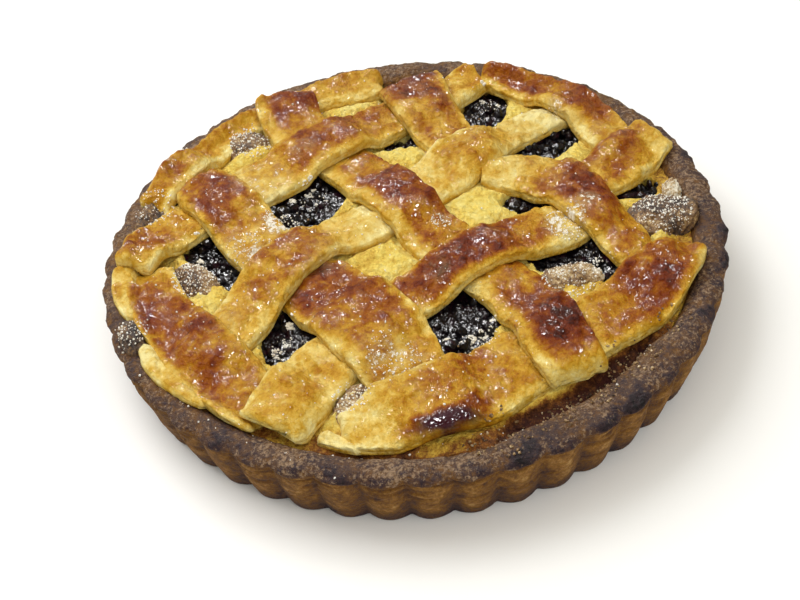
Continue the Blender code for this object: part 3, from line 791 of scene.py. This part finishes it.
def makeCase(finish):
    shape, baked = caseShape, caseBake
    section = smoothSection(shape["section"], shape["rowStep"])
    bm = bmesh.new()
    verts = [bm.verts.new((radius, 0.0, height)) for radius, height in section]
    edges = [bm.edges.new(pair) for pair in zip(verts, verts[1:])]
    bmesh.ops.spin(
        bm, geom=verts + edges, cent=(0, 0, 0), axis=(0, 0, 1), angle=math.tau,
        steps=pie["fluteCount"] * shape["columnsPerFlute"], use_merge=True)
    bmesh.ops.remove_doubles(bm, verts=bm.verts, dist=1e-4)
    bmesh.ops.recalc_face_normals(bm, faces=bm.faces)
    mesh = meshFrom(bm, "case")
    points = meshPoints(mesh)
    radius = fromMiddle(points)
    angle = np.arctan2(points[:, 1], points[:, 0]) - math.radians(pie["fluteTurn"])
    z = points[:, 2]
    lobe = np.abs(np.cos(pie["fluteCount"] * angle / 2))
    outer = smoothStep(radius, 100, 108)
    tinLine = shape["tinLine"]
    top = smoothStep(z, tinLine - 1.0, tinLine + 2.5)
    outside = radius > shape["wallFrom"]
    overRim = shape["rimFlute"] * smoothStep(radius, 106.5, 113.5)
    inset = shape["fluteDepth"] * (1 - lobe ** 0.9) * np.where(outside, 1 - top + top * overRim, 0)
    sag = 0.45 * lumps(points, 22.0, 111) + 0.5 * lumps(points, 7.0, 113)
    sandy = 0.45 * lumps(points, 2.4, 115) + 0.32 * lumps(points, 1.2, 117)
    push = -inset + outer * (sag * (0.2 + 0.8 * top) + sandy * (0.25 + 0.75 * top))
    crack = lumps(np.column_stack([points[:, :2] * 0.14, z * 0.8]), 1.0, 119)
    crack = crack + 0.25 * lumps(points, 5.0, 120)
    underRim = smoothStep(z, 9, 15) * (1 - smoothStep(z, tinLine, tinLine + 1.2)) * outside
    cracked = underRim * smoothStep(crack, 0.3, 0.5)
    push = push - shape["crackDepth"] * cracked
    inner = smoothStep(z, 12, 22) * (1 - smoothStep(radius, 103, 109)) * (radius > 95)
    push = push - groove["rimSwell"] * inner * grooveShare(points)
    scale = 1 + push / np.maximum(radius, 1)
    moved = points.copy()
    moved[:, :2] *= np.where(radius > 60, scale, 1)[:, None]
    lifted = smoothStep(z, 21, 27) * (0.5 * lumps(points, 15.0, 121) + 0.4 * lumps(points, 4.5, 123))
    moved[:, 2] = z + lifted + top * (0.45 * lumps(points, 2.1, 125) + 0.32 * lumps(points, 1.1, 127))
    onCrest = lobe * smoothStep(radius, 108.5, 113.5) * smoothStep(z, tinLine - 1, tinLine + 2)
    moved[:, 2] = np.maximum(np.where(z < 0.3, 0.0, moved[:, 2]), 0.0)
    setMeshPoints(mesh, moved * mm)
    # The wall is darker towards its foot.
    wall = baked["wall"] + baked["foot"] * (1 - smoothStep(z, 0, 11)) + 0.1 * lumps(points, 3.0, 128)
    # Painted shade: the hollows between the flutes and the cracks below the rim are made darker.
    wall = wall + baked["paintedHollowShade"] * (1 - lobe) + baked["crack"] * cracked
    scorch = 0.25 + 0.55 * onCrest + 0.5 * lumps(points, 16.0, 128) + 0.4 * lumps(points, 5.0, 129)
    burnt = smoothStep(scorch + 0.25 * lumps(points, 1.8, 130), 0.25, 1.3)
    rim = baked["rim"] + baked["burnt"] * burnt - baked["inner"] * (1 - smoothStep(radius, 103, 106.5))
    # The rim is darker towards one side of the pie and lighter away from it.
    fromDarkest = np.degrees((angle - math.radians(baked["darkest"]) + math.pi) % math.tau) - 180
    far = smoothStep(np.abs(fromDarkest), 60, 100)
    rim = rim - (baked["farLoss"] + baked["farBurntLoss"] * burnt) * far
    wander = 1.0 * lumps(points, 5.0, 131) + 0.5 * lumps(points, 1.6, 132) + 1.4 * (lobe - 0.6)
    onRim = smoothStep(z + wander, tinLine - 0.4, tinLine + 1.6)
    toast = wall * (1 - onRim) + rim * onRim + 0.07 * lumps(points, 10.0, 133)
    toast = toast + 0.1 * lumps(points, 1.3, 134) * onRim
    paint(mesh, "toast", toast)
    paint(mesh, "dry", onRim * (1 - 0.7 * burnt) * np.clip(0.75 + 0.35 * lumps(points, 9.0, 135), 0, 1))
    return finishPiece(mesh, finish, ("pastry_case",))


makeCase(makeBakedShortcrust())
print("case made")


# Sugared crumb: grains of browned sponge stuck together with half-melted sugar, so it is mottled
# from cream to dark brown with a slight sparkle. The grit is about 1 mm, and is drawn 1.7 mm wide.
def makeSugaredCrumb():
    finish, tree, shader, place = newFinish("Sugared crumb", roughness=0.6, ior=1.45, specular=0.3)
    toast, = painted(tree, ("toast",))
    grit = addNode(tree, "TexNoise", {
        "Scale": featureSize(1.7), "Detail": 3.0, "Roughness": 0.8}, {"Vector": place})
    blend = addNode(tree, "Math", {"operation": "MULTIPLY_ADD", 1: 1.8, 2: -0.9}, {0: grit})
    shade = addNode(tree, "Math", {"operation": "ADD"}, {0: toast, 1: blend})
    crumb = addNode(tree, "ValToRGB", {"stops": (
        (0.00, "#EDE3CB"), (0.20, "#C6A774"), (0.45, "#8A6841"), (0.72, "#584435"),
        (1.00, "#1E1613"))}, {"Fac": shade})
    relief = addNode(tree, "Bump", {"Strength": 1.0, "Distance": 1.6 * mm}, {"Height": grit})
    connect(tree, shader, {"Base Color": crumb, "Normal": relief})
    return finish


# How a mound is made: growth over its oval, depth below the surface and the size of its grain.
moundShape = {"subdivisions": 5, "grow": 1.05, "under": 1.5, "sunk": 0.5, "grain": 0.8}


def makeMound(name, values, finish):
    shape = moundShape
    *oval, height, browning = values
    bm = bmesh.new()
    bmesh.ops.create_icosphere(bm, subdivisions=shape["subdivisions"], radius=1.0)
    mesh = meshFrom(bm, name)
    unit = meshPoints(mesh)
    places = onOval(oval, unit[:, 0] * oval[2] * shape["grow"], unit[:, 1] * oval[3] * shape["grow"])
    solid = np.column_stack([places, unit[:, 2] * height])
    z = groundHeight(places) - shape["sunk"]
    z = z + unit[:, 2] * np.where(unit[:, 2] > 0, height, shape["under"])
    rough = 0.7 * lumps(solid, 4.0, 141) + shape["grain"] * blisters(solid, 1.5, 143)
    rough += 0.55 * lumps(solid, 1.0, 145)
    out = unit / np.linalg.norm(unit, axis=1)[:, None]
    points = np.column_stack([places, z]) + out * rough[:, None]
    setMeshPoints(mesh, points * mm)
    paint(mesh, "toast", browning + 0.3 * lumps(solid, 5.0, 147) - 0.1 * (1 - unit[:, 2]))
    return finishPiece(mesh, finish, (name,))


sugaredCrumb = makeSugaredCrumb()
for name, values in crumbMounds.items():
    makeMound(name, values, sugaredCrumb)

# Loose pieces at the edge: a bramble under sugar and dust, and torn ends of pastry.
edgeBerry = (-101.5, -37.0, 8.4, 4.4, -72, 5.2, 0.66)
makeMound("edge_berry", edgeBerry, sugaredCrumb)

flakes = {
    "edge_flake": {"thick": 0.6, "route": (
        (-97, -42, 5, 0.10), (-93, -50, 8, 0.20), (-88, -58, 8, 0.30), (-82, -65, 7, 0.25),
        (-75, -73, 4, 0.2))},
    "front_flake": {"thick": 0.7, "route": (
        (-37, -90, 4, 0.10), (-31, -94, 5, 0.12), (-24, -99, 4, 0.10))},
    "side_flake": {"thick": 0.7, "route": (
        (-106, 0, 8, 0.40), (-106, -10, 9, 0.35), (-104, -20, 8, 0.30), (-101, -29, 5, 0.30))},
}
for name, flake in flakes.items():
    makeStrip(name, flake, glazedPuff)
print("mounds and loose pieces made")


# Coarse white sugar: clear crystals that look white, as light is turned back at their many faces.
def makeSugarCrystal():
    finish, tree, shader, place = newFinish("Coarse white sugar", roughness=0.35, ior=1.5)
    cloud = addNode(tree, "TexNoise", {"Scale": featureSize(3.0)}, {"Vector": place})
    whites = addNode(tree, "ValToRGB", {"stops": (
        (0.3, "#E9DFC8"), (0.7, "#FFFDF6"))}, {"Fac": cloud})
    connect(tree, shader, {"Base Color": whites})
    return finish


# Where sugar lies thick: x, y, reach and number of crystals. The last two dust the whole top.
sugarPlaces = (
    (-48, 16, 7, 200), (-37, 32, 7, 40), (-60, 1, 9, 120), (-80, -9, 9, 300),
    (-60, 68, 9, 240), (-97, 31, 8, 120), (93, -2, 11, 420), (54, -32, 10, 260), (-25, -77, 7, 160),
    (20, -54, 7, 100), (-46, -46, 7, 60), (66, -24, 7, 40), (36, 80, 7, 30), (57, -6, 8, 120),
    (-10, -64, 10, 160), (12, 2, 4, 60), (-101, -37, 6, 110), (0, 0, 105, 250), (-40, -40, 70, 150),
)
# Clumps of sugar that stuck together where they fell on the wet fruit: x, y, reach, crystals.
sugarClumps = (
    (-38, 37, 1.4, 40), (-36, 39, 1.1, 30), (-44, 32, 1.2, 34), (-35, 31, 1.0, 16),
    (-79, 4, 1.2, 34), (-80, 15, 0.9, 12), (-46, -36, 1.6, 60), (-51, -47, 1.8, 44),
    (-48, -43, 1.2, 24), (21, -50, 1.6, 40), (17, -52, 1.3, 30), (25, -46, 1.2, 24),
    (8, -53, 1.2, 24), (37, 90, 1.0, 20), (36, 85, 1.3, 26), (42, 82, 1.0, 16),
    (65, -21, 1.1, 18),
)
# Torn flecks of crust, mostly in the groove: x, y, reach and number.
crumbPlaces = (
    (52, -80, 12, 160), (70, -72, 10, 120), (40, -93, 8, 90), (20, -98, 12, 90),
    (84, -56, 8, 60), (0, 0, 112, 90),
)


# Edge lengths of what is scattered, the flatness of crumbs, and the heights it lies between.
scatter = {
    "sugar": (0.2, 0.6), "clump": (0.35, 0.75), "crumb": (0.5, 1.5), "crumbFlat": 0.6,
    "lowest": 12, "highest": 60, "highestCrumb": 29,
}


# The highest point of the pie at x and y, and which way the surface faces there.
def surfaceBelow(trees, x, y):
    best = None
    for tree in trees:
        above = Vector((x * mm, y * mm, scatter["highest"] * mm))
        spot, normal, _, _ = tree.ray_cast(above, Vector((0, 0, -1)))
        if spot is not None and (best is None or spot.z > best[0].z):
            best = (spot, normal)
    return best


def scatterOn(trees, places, seed, sizes, flat=1.0, highest=scatter["highest"]):
    random = np.random.default_rng(seed)
    smallest, largest = sizes
    made = []
    for x, y, reach, count in places:
        for _ in range(count):
            turn, away = random.uniform(0, math.tau), reach * math.sqrt(random.uniform())
            found = surfaceBelow(trees, x + away * math.cos(turn), y + away * math.sin(turn))
            size = smallest + (largest - smallest) * random.uniform() ** 2
            spin = Matrix.Rotation(random.uniform(0, math.tau), 4, Vector(random.normal(size=3)))
            stretch = Matrix.Diagonal((*random.uniform(0.7, 1.3, 3) * (1, 1, flat), 1.0))
            if found and scatter["lowest"] * mm < found[0].z < highest * mm:
                lie = Matrix.Translation(found[0] + found[1] * size * mm * 0.2)
                made.append(lie @ spin @ Matrix.Scale(size * mm, 4) @ stretch)
    return made


trees = []
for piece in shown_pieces():
    if "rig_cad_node" not in piece:
        bm = bmesh.new()
        bm.from_mesh(piece.data)
        trees.append(BVHTree.FromBMesh(bm))
        bm.free()
sugarPiles = scatterOn(trees, sugarPlaces, 5, scatter["sugar"])
sugarPiles += scatterOn(trees, sugarClumps, 8, scatter["clump"])
crystals = stampMesh("sugar_crystals", bmesh.ops.create_cube, sugarPiles, size=1.0)
finishPiece(crystals, makeSugarCrystal())
flecks = scatterOn(trees, crumbPlaces, 6, scatter["crumb"], scatter["crumbFlat"], scatter["highestCrumb"])
crumbs = stampMesh("crust_crumbs", bmesh.ops.create_icosphere, flecks, subdivisions=1, radius=0.5)
paint(crumbs, "toast", 0.45 + 0.3 * lumps(meshPoints(crumbs) / mm, 2.0, 151))
finishPiece(crumbs, sugaredCrumb)
print("sugar and crumbs scattered")


# Floor, light and camera. Lights have a power in watts, and a size and place in metres. The broad
# ones only light, and the small ones only glint, so that the egg wash and syrup sparkle sharply.
studio = {"floorSize": 6.0, "floorTone": "#F8F7F4", "world": 0.28, "worldTone": "#FFFCF2"}
lights = {
    "key_light": {"power": 10.3, "size": 0.9, "at": (-0.6, 0.45, 0.95), "tone": "#FBFCFF"},
    "sky_light": {"power": 15.0, "size": 2.6, "at": (0.0, 0.0, 1.7), "tone": "#FFFCF2"},
    "sparkle_light": {"power": 24.0, "size": 0.34, "at": (-0.25, 0.6, 0.75), "glints": True},
    "lamp_light": {"power": 12.0, "size": 0.24, "at": (-0.1, 0.0, 1.1), "glints": True},
    "fill_light": {"power": 7.5, "size": 1.2, "at": (0.5, -1.0, 0.9)},
}


def makeFloor():
    mesh = meshFrom(newGrid(1, 1, studio["floorSize"] / 2), "floor")
    finish, _, shader, _ = newFinish("Matt white board", roughness=0.9, ior=1.45)
    shader.inputs["Base Color"].default_value = tone(studio["floorTone"])
    mesh.materials.append(finish)
    floor = bpy.data.objects.new("floor", mesh)
    stageFolder.objects.link(floor)


def makeLight(name, values):
    lamp = bpy.data.lights.new(name, "AREA")
    lamp.shape = "SQUARE"
    lamp.size = values["size"]
    lamp.energy = values["power"]
    lamp.color = tone(values.get("tone", "#FFFFFF"))[:3]
    light = bpy.data.objects.new(name, lamp)
    light.location = values["at"]
    light.rotation_euler = (-Vector(values["at"])).to_track_quat("-Z", "Y").to_euler()
    glints = values.get("glints", False)
    light.visible_glossy, light.visible_diffuse = glints, not glints
    stageFolder.objects.link(light)


makeFloor()
for name, values in lights.items():
    makeLight(name, values)
world = bpy.data.worlds.new("studio")
world.use_nodes = True
backdrop = world.node_tree.nodes["Background"]
backdrop.inputs["Color"].default_value = tone(studio["worldTone"])
backdrop.inputs["Strength"].default_value = studio["world"]
bpy.context.scene.world = world
bpy.context.scene.view_settings.view_transform = "Standard"

# Angles in degrees, the distance in millimetres and the lens in the camera's own millimetres.
cameraPlace = {
    "elevation": 43.587, "distance": 555.2, "lens": 65.14, "pan": 0.7113, "tilt": -0.2349,
    "roll": -6.593,
}


def makeCamera():
    values = {name: math.radians(value) for name, value in cameraPlace.items()}
    place = Matrix.Rotation(math.pi / 2 - values["elevation"], 4, "X")
    place = place @ Matrix.Translation((0, 0, cameraPlace["distance"] * mm))
    for name, axis in (("pan", "Y"), ("tilt", "X"), ("roll", "Z")):
        place = place @ Matrix.Rotation(values[name], 4, axis)
    camera = bpy.data.objects.new("camera", bpy.data.cameras.new("camera"))
    camera.matrix_world = place
    camera.data.lens = cameraPlace["lens"]
    camera.data.sensor_width = 36
    camera.data.clip_start = 0.01
    stageFolder.objects.link(camera)
    bpy.context.scene.camera = camera


makeCamera()
